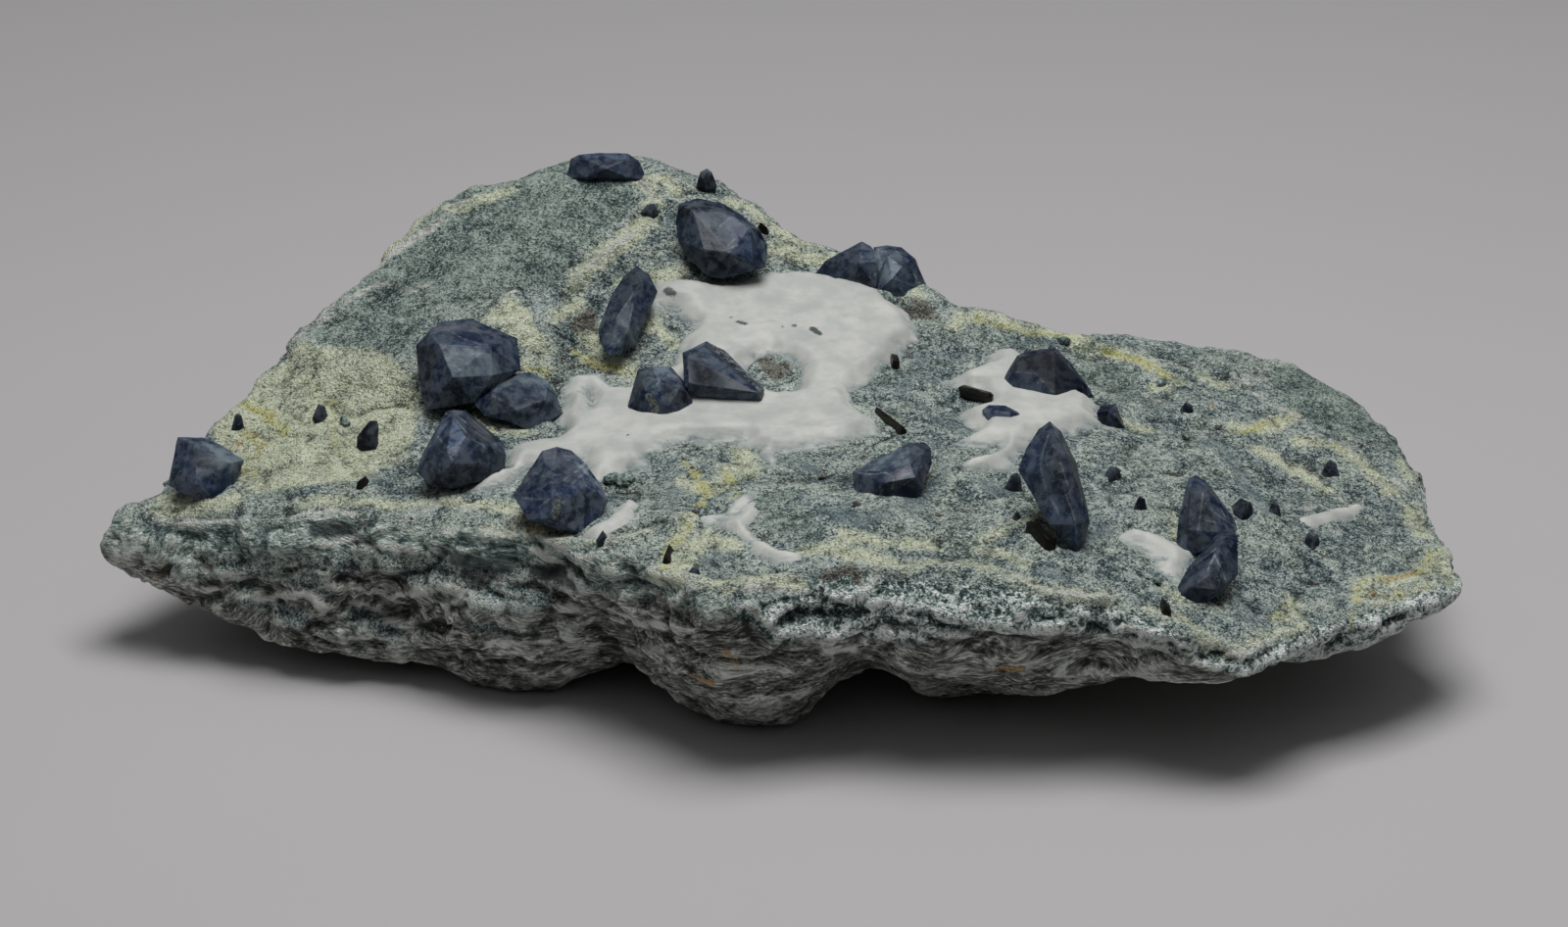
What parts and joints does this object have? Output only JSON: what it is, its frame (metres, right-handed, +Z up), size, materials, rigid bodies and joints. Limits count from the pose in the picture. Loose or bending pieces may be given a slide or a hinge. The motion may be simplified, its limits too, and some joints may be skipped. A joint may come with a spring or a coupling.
{
  "type": "benitoite on matrix",
  "caption": "Loose slab of blue-green rock with dark blue benitoite crystals, black neptunite prisms and white natrolite on its upper face; rests on flats under its lobes.",
  "frame": {"origin": "middle of the specimen's bounding box, at the level of the flats it rests on", "axes": "+X along the slab's length to the viewer's right, +Y away from the viewer towards the high back edge, +Z up"},
  "size_m": [0.1754, 0.1, 0.0486],
  "materials": {
    "rock": "matte",
    "natrolite": "satin",
    "benitoite": "gloss",
    "neptunite": "gloss"
  },
  "bodies": {
    "root": {"benitoite_back_pair": "benitoite", "benitoite_far_left": "benitoite", "benitoite_flat": "benitoite", "benitoite_front": "benitoite", "benitoite_left": "benitoite", "benitoite_left_pair": "benitoite", "benitoite_low": "benitoite", "benitoite_peak": "benitoite", "benitoite_right_pair": "benitoite", "benitoite_round": "benitoite", "benitoite_small_1": "benitoite", "benitoite_small_10": "benitoite", "benitoite_small_11": "benitoite", "benitoite_small_12": "benitoite", "benitoite_small_13": "benitoite", "benitoite_small_14": "benitoite", "benitoite_small_15": "benitoite", "benitoite_small_16": "benitoite", "benitoite_small_2": "benitoite", "benitoite_small_3": "benitoite", "benitoite_small_4": "benitoite", "benitoite_small_5": "benitoite", "benitoite_small_6": "benitoite", "benitoite_small_7": "benitoite", "benitoite_small_8": "benitoite", "benitoite_small_9": "benitoite", "benitoite_striped": "benitoite", "benitoite_tall": "benitoite", "benitoite_upper": "benitoite", "benitoite_upright": "benitoite", "benitoite_wedge": "benitoite", "benitoite_wedge_tip": "benitoite", "matrix": "rock", "natrolite_by_pair": "natrolite", "natrolite_far_right": "natrolite", "natrolite_forked": "natrolite", "natrolite_front": "natrolite", "natrolite_large": "natrolite", "natrolite_right": "natrolite", "neptunite_back": "neptunite", "neptunite_by_tall_crystal": "neptunite", "neptunite_front": "neptunite", "neptunite_left": "neptunite", "neptunite_long": "neptunite", "neptunite_middle": "neptunite", "neptunite_right": "neptunite", "neptunite_right_front": "neptunite", "neptunite_upper": "neptunite"}
  },
  "joints": []
}
